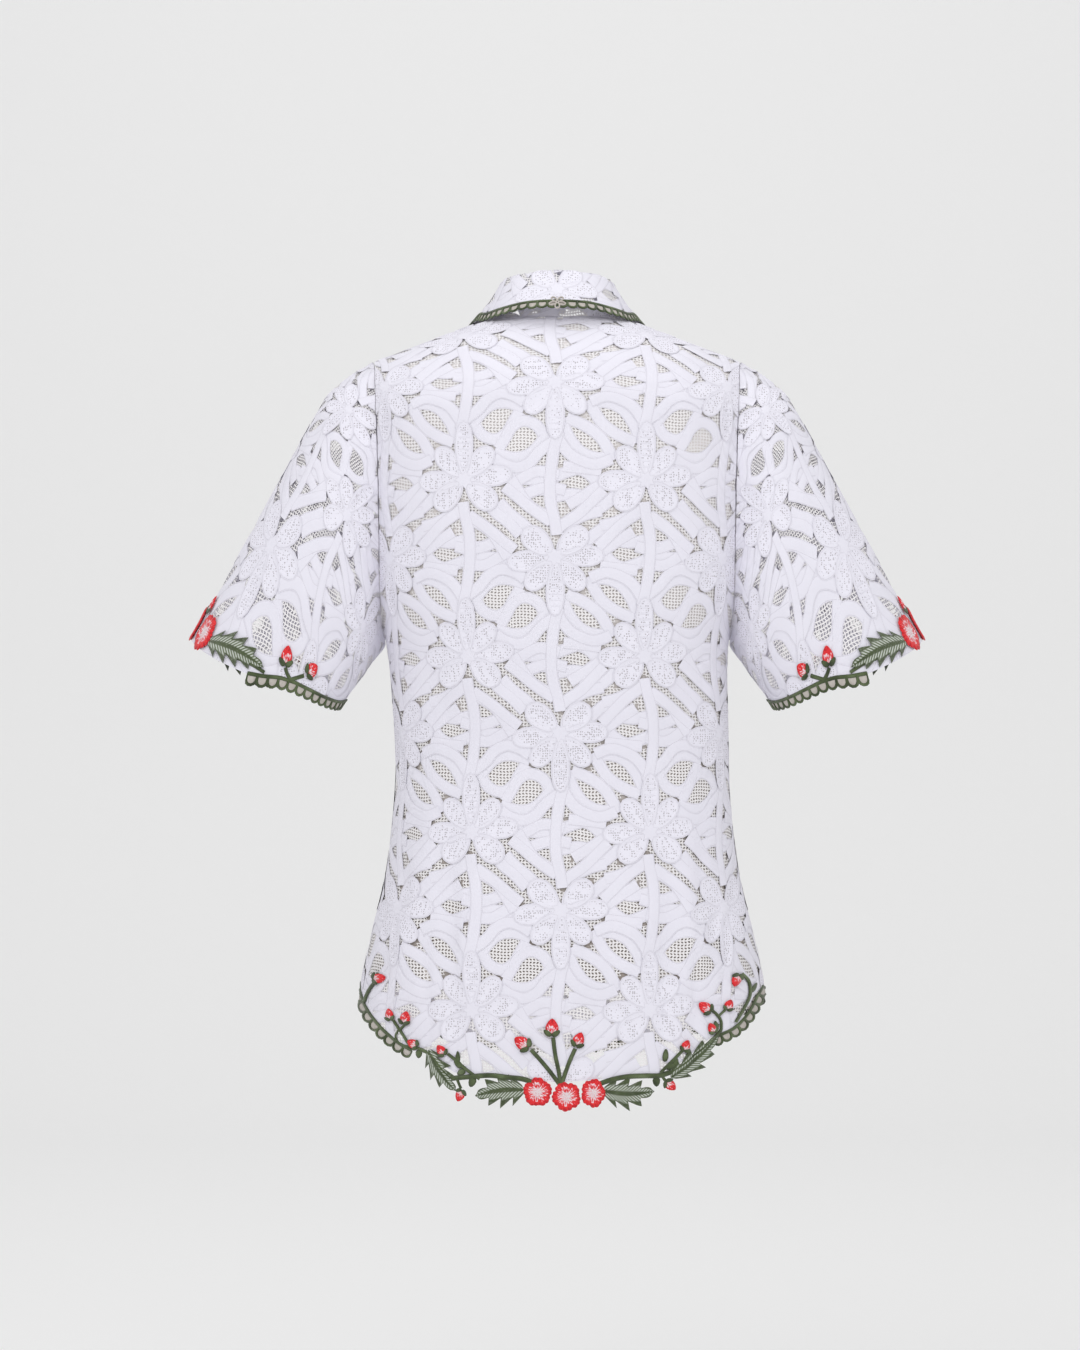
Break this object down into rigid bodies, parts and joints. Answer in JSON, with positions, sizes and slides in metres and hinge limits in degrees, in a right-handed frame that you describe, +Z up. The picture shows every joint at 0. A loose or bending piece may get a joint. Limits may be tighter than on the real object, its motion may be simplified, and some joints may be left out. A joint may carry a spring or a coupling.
{
  "type": "kebaya",
  "caption": "short-sleeved white lace kebaya with a turned-down collar, a longer rounded back and green vines with red flowers stitched along the hem and cuffs, held in its worn, hollow form",
  "frame": {"origin": "the middle of the line of the shoulders, where the wearer carries the garment", "axes": "+X the wearer's left, +Y behind the wearer, +Z up"},
  "size_m": [0.6796, 0.2407, 0.7636],
  "materials": {
    "lace": "white woven-tape lace with net grounds, soft matt, faintly lavender",
    "lining": "thin plain white lining, soft matt",
    "green_stitching": "olive green satin stitch, slight sheen",
    "red_stitching": "red satin stitch with pale streaks, slight sheen"
  },
  "bodies": {
    "root": {"back": "lace", "lining_back": "lining", "hem_edging_back": "green_stitching", "front_left": "lace", "lining_front_left": "lining", "hem_edging_front_left": "green_stitching", "front_right": "lace", "lining_front_right": "lining", "hem_edging_front_right": "green_stitching", "sleeve_left_back": "lace", "cuff_spray_left_back": "green_stitching", "cuff_leaf_left_back": "green_stitching", "sleeve_left_front": "lace", "cuff_spray_left_front": "green_stitching", "cuff_leaf_left_front": "green_stitching", "cuff_edging_left": "green_stitching", "hem_vine_left": "green_stitching", "hem_leaf_left_outer": "green_stitching", "hem_leaf_left_inner": "green_stitching", "cuff_flower_left_back": "red_stitching", "cuff_flower_left_middle": "red_stitching", "cuff_flower_left_front": "red_stitching", "sleeve_right_back": "lace", "cuff_spray_right_back": "green_stitching", "cuff_leaf_right_back": "green_stitching", "sleeve_right_front": "lace", "cuff_spray_right_front": "green_stitching", "cuff_leaf_right_front": "green_stitching", "cuff_edging_right": "green_stitching", "hem_vine_right": "green_stitching", "hem_leaf_right_outer": "green_stitching", "hem_leaf_right_inner": "green_stitching", "cuff_flower_right_back": "red_stitching", "cuff_flower_right_middle": "red_stitching", "cuff_flower_right_front": "red_stitching", "collar": "lace", "collar_edging": "green_stitching", "hem_spray": "green_stitching", "hem_flower_left": "red_stitching", "hem_flower_middle": "red_stitching", "hem_flower_right": "red_stitching"}
  },
  "joints": []
}
